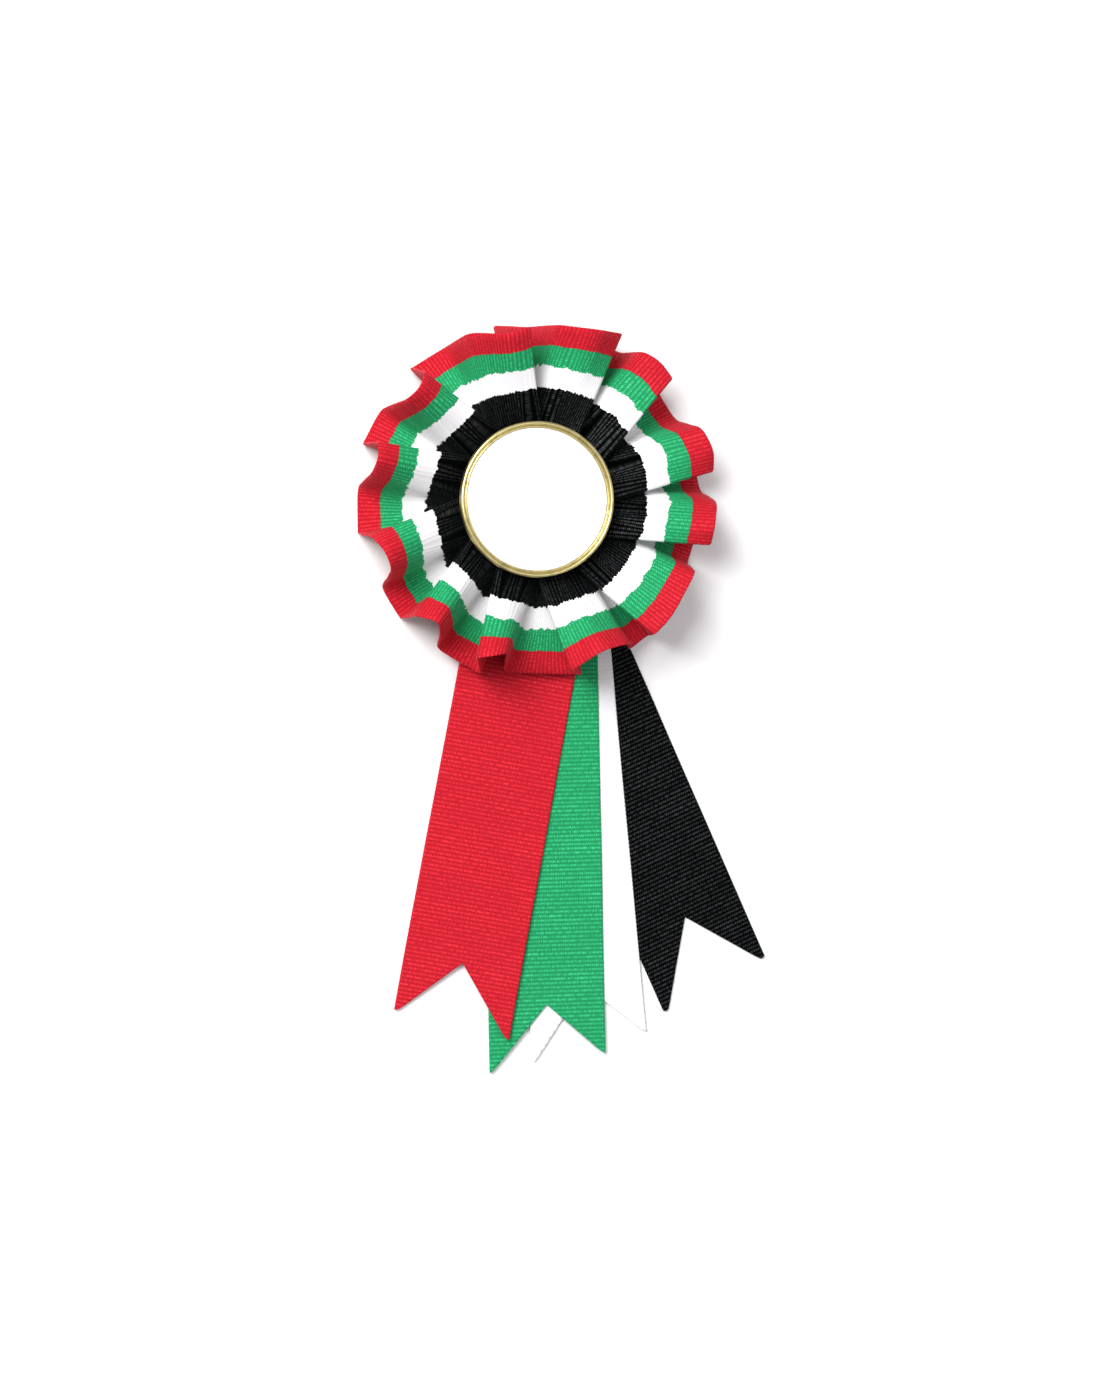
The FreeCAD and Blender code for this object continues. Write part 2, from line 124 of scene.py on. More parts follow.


# Woven polyester grosgrain: rows of short bright threads on each rib, with painted shade in the grooves
# between the ribs and a painted highlight on the crests
def makeGrosgrain(name, stripes):
    material, tree = newMaterial(name)
    uv = addNode(tree, "ShaderNodeUVMap", {"uv_map": "ribbonPlace"})
    place = addNode(tree, "ShaderNodeSeparateXYZ", None, {0: uv})
    along, across = place.outputs[0], place.outputs[1]
    noises = {}
    for title, (scale, detail) in grosgrainNoises.items():
        stretched = addNode(tree, "ShaderNodeMapping", None, {"Vector": uv, "Scale": (*scale, 1.0)})
        noises[title] = addNode(tree, "ShaderNodeTexNoise", {"noise_dimensions": "2D"}, {
            "Vector": stretched, "Scale": 1.0, "Detail": detail})
    ribTurn = addNode(tree, "ShaderNodeMath", {"operation": "MULTIPLY"}, {0: along, 1: 2 * math.pi})
    ribWave = addNode(tree, "ShaderNodeMath", {"operation": "COSINE"}, {0: ribTurn})
    ribNumber = addNode(tree, "ShaderNodeMath", {"operation": "ROUND"}, {0: along})
    ribChance = addNode(tree, "ShaderNodeTexWhiteNoise", {"noise_dimensions": "1D"}, {"W": ribNumber})

    # The color lines stray from straight, and each color gets its own share of painted shade off the crests
    halfWander, halfStep = grosgrain["edgeWander"] / 2, grosgrain["edgeStep"] / 2
    wander = addNode(tree, "ShaderNodeMapRange", None, {
        "Value": noises["edge"], "To Min": -halfWander, "To Max": halfWander})
    step = addNode(tree, "ShaderNodeMapRange", None, {
        "Value": ribChance, "To Min": -halfStep, "To Max": halfStep})
    stray = addNode(tree, "ShaderNodeMath", {"operation": "ADD"}, {0: wander, 1: step})
    strayed = addNode(tree, "ShaderNodeMath", {"operation": "MULTIPLY_ADD"}, {
        0: ribWave, 1: grosgrain["edgeTooth"], 2: stray})
    calmStart, calmEnd = grosgrain["calmBetween"]
    calmer = addNode(tree, "ShaderNodeMapRange", None, {
        "Value": across, "From Min": calmStart, "From Max": calmEnd,
        "To Min": 1.0, "To Max": grosgrain["edgeCalm"]})
    moved = addNode(tree, "ShaderNodeMath", {"operation": "MULTIPLY_ADD"}, {0: strayed, 1: calmer, 2: across})
    share = addNode(tree, "ShaderNodeMath", {"operation": "DIVIDE"}, {0: moved, 1: weave["width"]})
    color = addNode(tree, "ShaderNodeValToRGB", None, {0: share})
    # each color's share of painted groove shade and thread tone
    taken = addNode(tree, "ShaderNodeValToRGB", None, {0: share})
    for ramp in (color.color_ramp, taken.color_ramp):
        ramp.interpolation = "CONSTANT"
        ramp.elements.remove(ramp.elements[1])
        for start, dye in stripes:
            spot = ramp.elements.new(start / weave["width"]) if start > 0 else ramp.elements[0]
            hexCode, loss = dyesAndGrooveShade[dye]
            spot.color = linearColor(hexCode) if ramp == color.color_ramp else (loss, loss, loss, 1.0)

    # How bright each place is: a painted highlight on a rib's crest and painted shade towards its grooves,
    # less on dim threads, ribs and patches
    threadTurn = addNode(tree, "ShaderNodeMath", {"operation": "MULTIPLY_ADD"}, {
        0: across, 1: 2 * math.pi / grosgrain["threadSpacing"], 2: ribTurn})
    threadWave = addNode(tree, "ShaderNodeMath", {"operation": "SINE"}, {0: threadTurn})
    threads = addNode(tree, "ShaderNodeMath", {"operation": "MULTIPLY_ADD"}, {
        0: threadWave, 1: grosgrain["threadSlant"], 2: noises["thread"]})
    groove, crest = grosgrain["grooveToCrest"]
    bright = addNode(tree, "ShaderNodeMapRange", None, {
        "Value": ribWave, "From Min": groove, "From Max": crest})
    dimmers = (
        (threads, grosgrain["threadRange"], grosgrain["threadWeakest"]),
        (ribChance, (0.0, 1.0), grosgrain["ribWeakest"]),
        (noises["patch"], grosgrain["patchRange"], grosgrain["patchWeakest"]),
    )
    for value, (low, high), weakest in dimmers:
        factor = addNode(tree, "ShaderNodeMapRange", None, {
            "Value": value, "From Min": low, "From Max": high, "To Min": weakest})
        bright = addNode(tree, "ShaderNodeMath", {"operation": "MULTIPLY"}, {0: bright, 1: factor})
    bright = addNode(tree, "ShaderNodeMath", {"operation": "POWER"}, {
        0: bright, 1: grosgrain["crestSharpness"]})
    dim = addNode(tree, "ShaderNodeMath", {"operation": "SUBTRACT"}, {0: 1.0, 1: bright})
    lost = addNode(tree, "ShaderNodeMath", {"operation": "MULTIPLY"}, {0: dim, 1: taken})
    kept = addNode(tree, "ShaderNodeMath", {"operation": "SUBTRACT"}, {0: 1.0, 1: lost})
    # a painted shade line along the green-red join
    if len(stripes) > 1:
        seamWidth, seamShade = grosgrain["seam"]
        offSeam = addNode(tree, "ShaderNodeMath", {"operation": "SUBTRACT"}, {0: moved, 1: stripes[-1][0]})
        fromSeam = addNode(tree, "ShaderNodeMath", {"operation": "ABSOLUTE"}, {0: offSeam})
        shade = addNode(tree, "ShaderNodeMapRange", None, {
            "Value": fromSeam, "From Max": seamWidth, "To Min": seamShade})
        kept = addNode(tree, "ShaderNodeMath", {"operation": "MULTIPLY"}, {0: kept, 1: shade})

    # the stripe color darkened by painted groove shade and by thread, rib and patch tone
    shadedColor = addNode(tree, "ShaderNodeVectorMath", {"operation": "SCALE"}, {0: color, "Scale": kept})
    gloss = addNode(tree, "ShaderNodeMath", {"operation": "MULTIPLY"}, {0: bright, 1: taken})
    shine = addNode(tree, "ShaderNodeMath", {"operation": "MULTIPLY"}, {0: gloss, 1: grosgrain["shine"]})
    bump = addNode(tree, "ShaderNodeBump", None, {
        "Height": threads, "Strength": grosgrain["reliefStrength"],
        "Distance": grosgrain["threadDepth"] * mm})
    shader = addNode(tree, "ShaderNodeBsdfPrincipled", None, {
        "Base Color": shadedColor, "Normal": bump, "Roughness": grosgrain["roughness"],
        "Sheen Weight": grosgrain["sheen"], "Specular IOR Level": shine})
    addNode(tree, "ShaderNodeOutputMaterial", None, {"Surface": shader})
    return material


brass = {
    "bright": "#dccd90",
    "tarnish": "#7d7342",
    "roughness": (0.3, 0.5),
    "spots": [  # patches and specks: size, which part of the noise shows, octaves
        (2.2, (0.5, 0.75), 4.0),
        (0.35, (0.64, 0.74), 2.0),
    ],
    "mostTarnish": 0.7,
    "turningGrit": 0.12,
    "turningDepth": 0.008,
    "turningStrength": 0.3,
}


# Spun and lacquered brass: bright, with olive tarnish in patches and specks, and fine turning marks
def makeBrass():
    material, tree = newMaterial("spunBrass")
    coordinates = addNode(tree, "ShaderNodeTexCoord")
    tarnishes = []
    for size, (low, high), detail in brass["spots"]:
        spots = addNode(tree, "ShaderNodeTexNoise", None, {
            "Vector": coordinates.outputs["Object"], "Scale": 1 / (size * mm), "Detail": detail})
        tarnishes.append(addNode(tree, "ShaderNodeMapRange", None, {
            "Value": spots, "From Min": low, "From Max": high, "To Max": brass["mostTarnish"]}))
    amount = addNode(tree, "ShaderNodeMath", {"operation": "MAXIMUM"}, dict(enumerate(tarnishes)))
    color = addNode(tree, "ShaderNodeMix", {"data_type": "RGBA"}, {
        0: amount, 6: linearColor(brass["bright"]), 7: linearColor(brass["tarnish"])})
    rough = addNode(tree, "ShaderNodeMapRange", None, {
        "Value": amount, "To Min": brass["roughness"][0], "To Max": brass["roughness"][1]})
    split = addNode(tree, "ShaderNodeSeparateXYZ", None, {0: coordinates.outputs["Object"]})
    flat = addNode(tree, "ShaderNodeCombineXYZ", None, {0: split, 1: split.outputs[1]})
    radius = addNode(tree, "ShaderNodeVectorMath", {"operation": "LENGTH"}, {0: flat})
    rings = addNode(tree, "ShaderNodeCombineXYZ", None, {0: radius.outputs["Value"], 1: split.outputs[2]})
    turning = addNode(tree, "ShaderNodeTexNoise", {"noise_dimensions": "2D"}, {
        "Vector": rings, "Scale": 1 / (brass["turningGrit"] * mm), "Detail": 2.0})
    bump = addNode(tree, "ShaderNodeBump", None, {
        "Height": turning, "Strength": brass["turningStrength"], "Distance": brass["turningDepth"] * mm})
    shader = addNode(tree, "ShaderNodeBsdfPrincipled", None, {
        "Base Color": color.outputs[2], "Roughness": rough, "Normal": bump, "Metallic": 1.0})
    addNode(tree, "ShaderNodeOutputMaterial", None, {"Surface": shader})
    return material


surfaces = {
    # Pressed card under a satin film: even, with a faint tooth
    "coatedCard": {
        "color": "#fafaf9", "dark": "#f4f4f2", "roughness": (0.357, 0.483),
        "metallic": 0.0, "sheen": 0.0, "grain": 0.6, "depth": 0.01},
    # Pressed felt: matt, with short fuzz that catches side light
    "woolFelt": {
        "color": "#17171a", "dark": "#08080a", "roughness": (0.8075, 1.0),
        "metallic": 0.0, "sheen": 0.5, "grain": 0.25, "depth": 0.12},
    # Stamped and plated: a soft grey shine
    "nickelPlatedSteel": {
        "color": "#c4c3be", "dark": "#8f8e8a", "roughness": (0.238, 0.322),
        "metallic": 1.0, "sheen": 0.0, "grain": 0.4, "depth": 0.015},
}
surfaceRelief = 0.6  # how strongly their grain shows


def makeSurface(name):
    look = surfaces[name]
    material, tree = newMaterial(name)
    coordinates = addNode(tree, "ShaderNodeTexCoord")
    grain = addNode(tree, "ShaderNodeTexNoise", None, {
        "Vector": coordinates.outputs["Object"], "Scale": 1 / (look["grain"] * mm), "Detail": 4.0})
    color = addNode(tree, "ShaderNodeMix", {"data_type": "RGBA"}, {
        0: grain, 6: linearColor(look["color"]), 7: linearColor(look["dark"])})
    rough = addNode(tree, "ShaderNodeMapRange", None, {
        "Value": grain, "To Min": look["roughness"][0], "To Max": look["roughness"][1]})
    bump = addNode(tree, "ShaderNodeBump", None, {
        "Height": grain, "Strength": surfaceRelief, "Distance": look["depth"] * mm})
    shader = addNode(tree, "ShaderNodeBsdfPrincipled", None, {
        "Base Color": color.outputs[2], "Roughness": rough, "Normal": bump,
        "Metallic": look["metallic"], "Sheen Weight": look["sheen"]})
    addNode(tree, "ShaderNodeOutputMaterial", None, {"Surface": shader})
    return material


stripeStarts = [(0.0, "black"), (10.0, "white"), (15.0, "green"), (20.0, "red")]  # from the inner edge
stripedRibbon = makeGrosgrain("stripedGrosgrain", stripeStarts)
tailMaterials = {dye + "Tail": makeGrosgrain(dye + "Grosgrain", [(0.0, dye)]) for dye in dyesAndGrooveShade}
print("materials made")


def unit(vectors):
    return vectors / np.linalg.norm(vectors, axis=-1, keepdims=True)


def ease(values):
    values = np.clip(values, 0.0, 1.0)
    return values * values * (3 - 2 * values)


# A closed wall round a middle surface, with rounded selvedges
def wallMesh(name, surface):
    points, normals, ribPlace, across = [surface[key] for key in ("points", "normals", "ribPlace", "across")]
    inner, outer = surface["sides"]
    half = weave["wall"] / 2
    rows, columns = ribPlace.shape
    skin = np.concatenate([points + normals * half, [points[-1] + outer * half],
                           (points - normals * half)[::-1], [points[0] + inner * half]])
    lift = np.concatenate([normals, [outer], -normals[::-1], [inner]])
    ribs = np.concatenate([ribPlace, ribPlace[-1:], ribPlace[::-1], ribPlace[:1]])
    places = np.concatenate([across, across[-1:], across[::-1], across[:1]])
    around = len(skin)
    ring = np.arange(around)[:, None]
    column = np.arange(columns if surface["closed"] else columns - 1)[None, :]
    nextRing, nextColumn = (ring + 1) % around, (column + 1) % columns
    quads = np.stack([ring * columns + column, nextRing * columns + column,
                      nextRing * columns + nextColumn, ring * columns + nextColumn], axis=-1)
    faces = quads.reshape(-1, 4).tolist()
    if not surface["closed"]:
        for end in (0, columns - 1):
            loop = [number * columns + end for number in range(around)]
            top, side, bottom, otherSide = loop[:rows], loop[rows], loop[rows + 1:-1][::-1], loop[-1]
            faces += [[top[r], top[r + 1], bottom[r + 1], bottom[r]] for r in range(rows - 1)]
            faces += [[top[-1], side, bottom[-1]], [bottom[0], otherSide, top[0]]]
    mesh = bpy.data.meshes.new(name)
    mesh.from_pydata((skin.reshape(-1, 3) * mm).tolist(), [], faces)
    for key, values in (("lift", lift), ("ribPlace", ribs), ("across", places)):
        kind, field = ("FLOAT_VECTOR", "vector") if key == "lift" else ("FLOAT", "value")
        attribute = mesh.attributes.new(key, kind, "POINT")
        attribute.data.foreach_set(field, values.astype(np.float32).ravel())
    shape = bmesh.new()
    shape.from_mesh(mesh)
    if not surface["closed"]:
        bmesh.ops.remove_doubles(shape, verts=shape.verts, dist=weave["weld"] * mm)
    bmesh.ops.recalc_face_normals(shape, faces=shape.faces)
    shape.to_mesh(mesh)
    shape.free()
    return mesh


# Geometry Nodes: raises every rib by its own amount, along the way that each point of the wall faces
def makeRibTree(material):
    tree = bpy.data.node_groups.new("ribbonRibs", "GeometryNodeTree")
    tree.interface.new_socket("Geometry", in_out="INPUT", socket_type="NodeSocketGeometry")
    sockets = {}
    for title in ("Rib Height", "Lowest Share", "Highest Share", "Seed"):
        sockets[title] = tree.interface.new_socket(title, in_out="INPUT", socket_type="NodeSocketFloat")
    tree.interface.new_socket("Geometry", in_out="OUTPUT", socket_type="NodeSocketGeometry")
    given = addNode(tree, "NodeGroupInput")
    ribPlace = addNode(tree, "GeometryNodeInputNamedAttribute", {"data_type": "FLOAT"}, {"Name": "ribPlace"})
    lift = addNode(tree, "GeometryNodeInputNamedAttribute", {"data_type": "FLOAT_VECTOR"}, {
        "Name": "lift"})
    turn = addNode(tree, "ShaderNodeMath", {"operation": "MULTIPLY"}, {0: ribPlace, 1: 2 * math.pi})
    wave = addNode(tree, "ShaderNodeMath", {"operation": "COSINE"}, {0: turn})
    ribNumber = addNode(tree, "ShaderNodeMath", {"operation": "ROUND"}, {0: ribPlace})
    seeded = addNode(tree, "ShaderNodeMath", {"operation": "ADD"}, {
        0: ribNumber, 1: given.outputs["Seed"]})
    chance = addNode(tree, "ShaderNodeTexWhiteNoise", {"noise_dimensions": "1D"}, {"W": seeded})
    amount = addNode(tree, "ShaderNodeMapRange", None, {
        "Value": chance,
        "To Min": given.outputs["Lowest Share"],
        "To Max": given.outputs["Highest Share"]})
    height = addNode(tree, "ShaderNodeMath", {"operation": "MULTIPLY"}, {
        0: amount, 1: given.outputs["Rib Height"]})
    halfHeight = addNode(tree, "ShaderNodeMath", {"operation": "MULTIPLY"}, {0: height, 1: 0.5})
    push = addNode(tree, "ShaderNodeMath", {"operation": "MULTIPLY"}, {0: wave, 1: halfHeight})
    offset = addNode(tree, "ShaderNodeVectorMath", {"operation": "SCALE"}, {
        0: lift, "Scale": push})
    moved = addNode(tree, "GeometryNodeSetPosition", None, {
        "Geometry": given.outputs["Geometry"], "Offset": offset})
    realized = addNode(tree, "GeometryNodeRealizeInstances", None, {"Geometry": moved})
    finished = addNode(tree, "GeometryNodeSetMaterial", None, {
        "Geometry": realized, "Material": material})
    addNode(tree, "NodeGroupOutput", None, {0: finished})
    return tree, sockets


def addObject(name, mesh):
    thing = bpy.data.objects.new(name, mesh)
    bpy.context.scene.collection.objects.link(thing)
    return thing


# Turns an object and its Geometry Nodes into a plain mesh
def applyNodes(thing):
    bpy.context.view_layer.update()
    graph = bpy.context.evaluated_depsgraph_get()
    evaluated = thing.evaluated_get(graph)
    mesh = bpy.data.meshes.new_from_object(evaluated, preserve_all_data_layers=True, depsgraph=graph)
    thing.modifiers.clear()
    thing.data = mesh
    mesh.polygons.foreach_set("use_smooth", [True] * len(mesh.polygons))


# Writes the place along and across the ribbon into a UV map: whole numbers are ribs, and millimetres
def addRibbonUv(mesh, wrapRibs):
    loops = np.zeros(len(mesh.loops), np.int32)
    mesh.loops.foreach_get("vertex_index", loops)
    values = {}
    for key in ("ribPlace", "across"):
        values[key] = np.zeros(len(mesh.vertices), np.float32)
        mesh.attributes[key].data.foreach_get("value", values[key])
    along = values["ribPlace"][loops]
    if wrapRibs:
        starts = np.zeros(len(mesh.polygons), np.int32)
        mesh.polygons.foreach_get("loop_start", starts)
        highest = np.repeat(np.maximum.reduceat(along, starts), np.diff(np.append(starts, len(loops))))
        along = np.where((highest > wrapRibs - 2) & (along < 1), along + wrapRibs, along)
    layer = mesh.uv_layers.new(name="ribbonPlace")
    pairs = np.stack([along, values["across"][loops]], axis=-1)
    layer.data.foreach_set("uv", pairs.astype(np.float32).ravel())


def makeRibbon(name, surface, material):
    thing = addObject(name, wallMesh(name, surface))
    tree, sockets = makeRibTree(material)
    ribs = thing.modifiers.new("ribs", "NODES")
    ribs.node_group = tree
    ribs[sockets["Rib Height"].identifier] = weave["ribHeight"] * mm
    ribs[sockets["Lowest Share"].identifier] = weave["ribVariation"][0]
    ribs[sockets["Highest Share"].identifier] = weave["ribVariation"][1]
    ribs[sockets["Seed"].identifier] = float(weave["seed"])
    applyNodes(thing)
    wrapRibs = float(round(surface["ribPlace"].max())) if surface["closed"] else 0
    addRibbonUv(thing.data, wrapRibs)
    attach(thing, "root")
    return thing


tailDesign = {
    "columnsAcross": 24,
    "edgeColumns": (0.3, 0.7),  # two more, this far from each selvedge
    "tipRound": 1.4,
    "tipReach": 0.85,  # a blunt tip is cut from one that is longer by this share of what it lost
    "layer": 1.2,  # spacing of the stack at the root, as in the frame
    "thinLayer": 0.62,  # spacing where the tails lie on each other
    "rootLevel": backingTop + 0.7,  # the lowest tail's middle surface, a little above the backing
    "stackLeaves": 14.2,  # the stack leaves the backing and reaches the table this far from the middle
    "stackLands": 34.0,
    "wave": 0.5,
    "waveBias": 0.3,  # how much of the length is raised by the wave
    "waveLength": 26.0,
}
tailColumns = (
    "name", "node", "heading", "rootX", "rootY", "leftLength", "notchLength", "rightLength", "blunt",
)
tailRows = [
    ("blackTail", "black_tail", 24.2, -1.3, -6.0, 108.0, 91.2, 106.6, 1.5),
    ("whiteTail", "white_tail", 5.5, 4.2, -5.0, 114.2, 99.1, 110.4, 0.3),
    ("greenTail", "green_tail", 1.2, 3.2, -5.0, 116.9, 102.6, 113.5, 0.3),
    ("redTail", "red_tail", -10.6, 4.5, -5.0, 107.5, 95.1, 109.6, 0.6),
]
tails = [dict(zip(tailColumns, row)) for row in tailRows]

# How far each tail's left edge, middle and right edge have settled, at distances from its root
settleDistances = (0.0, 26.0, 55.0, 75.0, 95.0, 116.0)
unsettled = (0, 0, 0)
settleRows = {
    "blackTail": [unsettled] * 6,
    "whiteTail": [unsettled, unsettled, (0.5, 0, 0), (0.9, 0.3, 0), (1.0, 0.75, 0), (1.05, 1.0, 0.7)],
    "greenTail": [unsettled, unsettled, (0.55, 0, 0), (0.85, 0.35, 0.1), (1.13, 0.68, 0.3), (1.45, 0.83, 0.7)],
    "redTail": [unsettled, unsettled, (1.2, 0.35, -0.4), (2.2, 0.8, -0.7), (2.8, 1.2, -0.7), (3.0, 1.6, -0.4)],
}


# Height of a tail's middle surface: down from the backing, then flat on what lies under it
def tailHeights(tail, stackPlace, points, distance, place):
    stations = np.array(settleRows[tail["name"]], float)
    settle = np.zeros_like(distance)
    for span in range(len(settleDistances) - 1):
        start, end = settleDistances[span], settleDistances[span + 1]
        isHere = (distance >= start) & ((distance < end) | (span == len(settleDistances) - 2))
        near = np.interp(place, (0, 1, 2), stations[span])
        far = np.interp(place, (0, 1, 2), stations[span + 1])
        settle = np.where(isHere, near + (far - near) * ease((distance - start) / (end - start)), settle)
    gone = np.linalg.norm(points[..., :2], axis=-1)
    fall = ease((gone - tailDesign["stackLeaves"]) / (tailDesign["stackLands"] - tailDesign["stackLeaves"]))
    floorLevel = (weave["wall"] + weave["ribHeight"] * weave["ribVariation"][1]) / 2
    base = tailDesign["rootLevel"] + (floorLevel - tailDesign["rootLevel"]) * fall
    layer = tailDesign["layer"] + (tailDesign["thinLayer"] - tailDesign["layer"]) * fall
    wave = np.zeros_like(base)
    for index in np.ndindex(base.shape):
        spot = Vector(points[index][:2] / tailDesign["waveLength"]).to_3d()
        wave[index] = max(0.0, tailDesign["waveBias"] + noise.noise(spot)) * tailDesign["wave"]
    return base + stackPlace * layer - settle * tailDesign["thinLayer"] / tailDesign["layer"] + wave * fall


# A tail's middle surface, with straight ribs across it and a swallow-tail cut at its end
def tailSurface(tail, stackPlace):
    turn = math.radians(tail["heading"])
    down = np.array([math.sin(turn), -math.cos(turn), 0.0])
    right = np.array([math.cos(turn), math.sin(turn), 0.0])
    root = np.array([tail["rootX"], tail["rootY"], 0.0])
    halfWidth = weave["width"] / 2
    nearEdge = np.array(tailDesign["edgeColumns"]) / halfWidth
    evenPlaces = np.linspace(0, 2, tailDesign["columnsAcross"] + 1)
    places = np.union1d(evenPlaces, np.concatenate([nearEdge, 2 - nearEdge]))
    extra = tailDesign["tipReach"] * tail["blunt"]
    sharpEnds = (tail["leftLength"] + extra, tail["notchLength"], tail["rightLength"] + extra)
    ends = np.interp(places, (0, 1, 2), sharpEnds)
    edgeDistance = halfWidth * (1 - abs(places - 1))
    ends -= tail["blunt"] * np.clip(1 - edgeDistance / tailDesign["tipRound"], 0, 1) ** 2
    step = weave["ribSpacing"] / weave["columnsPerRib"]
    distances = np.arange(0, ends.max() + step, step)
    place, distance = np.meshgrid(places, distances, indexing="ij")
    sideways = halfWidth * (place - 1)
    points = root + down * distance[..., None] + right * sideways[..., None]
    points[..., 2] = tailHeights(tail, stackPlace, points, distance, place)
    normals = unit(np.cross(np.gradient(points, axis=1), np.gradient(points, axis=0)))
    cut = np.minimum(distance, ends[:, None])
    for row in range(len(places)):
        for axis in range(3):
            points[row, :, axis] = np.interp(cut[row], distances, points[row, :, axis])
            normals[row, :, axis] = np.interp(cut[row], distances, normals[row, :, axis])
    edgeWay = np.repeat(right[None, :], len(distances), axis=0)
    return {
        "points": points,
        "normals": normals,
        "sides": (-edgeWay, edgeWay),
        "ribPlace": cut / weave["ribSpacing"],
        "across": np.repeat((places * halfWidth)[:, None], len(distances), axis=1),
        "closed": False,
    }


ruffle = {
    "innerRadius": 14.0,
    "center": np.array([1.3, 0.6, 0.0]),  # the ring of pleats sits a little off the badge
    "innerAngle": 326.0,
    "foldRise": 1.25,
    "bottom": backingTop + len(tails) * tailDesign["layer"] + 0.3,  # just above the stack of tails
    "frameWall": 1.0,  # how thick the ribbon is in the frame
    "rows": 13,
    "cornerParts": 8,
    "longestTrim": 0.46,
    "backLift": 1.4,
    "crumple": 0.16,
    "crumpleRound": 13.0,  # how many bumps of the crumple's noise there are, in radians and across
    "crumpleAcross": 2.2,
    "flatLength": 500.0,
}

pleatColumns = (
    "foldAngle", "foldHeight", "ridgeAngle", "ridgeHeight", "bendAngle", "bendHeight",
    "valleyAngle", "valleyHeight", "tuckAngle", "tuckHeight", "softness",
)
pleatRows = [
    (344.6, 19.1, 350.1, 22.5, 358.7, 17.0, 363.1, 2.1, 3.0, 1.0, 0.0),
    (9.1, 12.5, 15.2, 16.4, 23.4, 16.5, 28.0, 1.0, 3.0, 1.0, 0.0),
    (41.8, 15.0, 48.2, 15.3, 54.3, 14.5, 58.0, 2.0, 3.0, 2.0, 0.0),
    (63.3, 15.2, 72.4, 22.5, 84.9, 20.5, 89.9, 1.0, 4.0, 1.0, 0.2),
    (97.4, 25.4, 105.1, 25.8, 114.8, 17.0, 119.4, 1.0, -3.0, 1.0, 0.4),
    (135.6, 21.1, 141.0, 24.5, 146.3, 21.2, 149.3, 1.3, -1.0, 0.8, 0.7),
    (163.1, 19.6, 168.1, 22.1, 173.2, 18.4, 176.4, 2.0, -2.0, 0.8, 0.7),
    (193.5, 17.7, 199.1, 22.3, 205.9, 20.0, 210.8, 0.8, 0.0, 0.8, 0.8),
    (222.6, 19.2, 228.2, 24.3, 232.1, 19.3, 237.5, 4.0, 6.0, 5.7, 0.8),
    (246.5, 21.7, 250.5, 23.8, 255.5, 22.0, 260.5, 5.4, 7.0, 5.2, 0.9),
    (278.5, 21.6, 288.1, 26.0, 300.2, 21.4, 303.8, 5.2, 3.0, 4.6, 0.5),
    (308.5, 21.4, 316.3, 21.8, 333.7, 21.5, 338.9, 1.2, 2.0, 1.0, 0.2),
]
pleats = [dict(zip(pleatColumns, row)) for row in pleatRows]

# The lines that each pleat is stretched over: degrees ahead of its top fold at the inner edge, how late
# each climbs or falls on its way out, and how much of its corner is rounded away
lineColumns = ("line", "ahead", "power", "innerTrim", "crispTrim", "softTrim")
lineRows = [
    ("foldUnder", 0.0, 1.3, 0.5, 0.55, 1.2),
    ("foldTop", 0.0, 1.3, 0.5, 0.55, 3.0),
    ("ridge", 19.0, 1.2, 1.0, 3.0, 3.0),
    ("bend", 38.0, 1.6, 0.9, 2.8, 3.5),
    ("valley", 44.0, 1.5, 0.6, 3.0, 3.5),
    ("backLow", 50.0, 1.4, 0.5, 0.9, 2.0),
    ("backHigh", 50.0, 1.4, 0.5, 0.7, 1.0),
]
lineKinds = [dict(zip(lineColumns, row)) for row in lineRows]


def polar(angle, radius):
    turn = math.radians(angle)
    return np.array([radius * math.cos(turn), radius * math.sin(turn), 0.0])


# A line of the ribbon from its inner to its outer edge, at its true length across the width
def ribLine(innerAngle, innerHeight, outerAngle, outerHeight, power):
    width, rows, innerRadius = weave["width"], ruffle["rows"], ruffle["innerRadius"]
    heights = innerHeight + (outerHeight - innerHeight) * np.linspace(0, 1, rows + 1) ** power
    reach = np.concatenate([[0.0], np.cumsum(np.sqrt((width / rows) ** 2 - np.diff(heights) ** 2))])
    turn = math.radians(outerAngle - innerAngle)
    sideways = innerRadius * math.sin(turn)
    outerRadius = innerRadius * math.cos(turn) + math.sqrt(reach[-1] ** 2 - sideways ** 2)
    start = ruffle["center"] + polar(innerAngle, innerRadius)
    end = ruffle["center"] + polar(outerAngle, outerRadius)
    line = start + np.outer(reach / reach[-1], end - start)
    line[:, 2] = heights
    return line


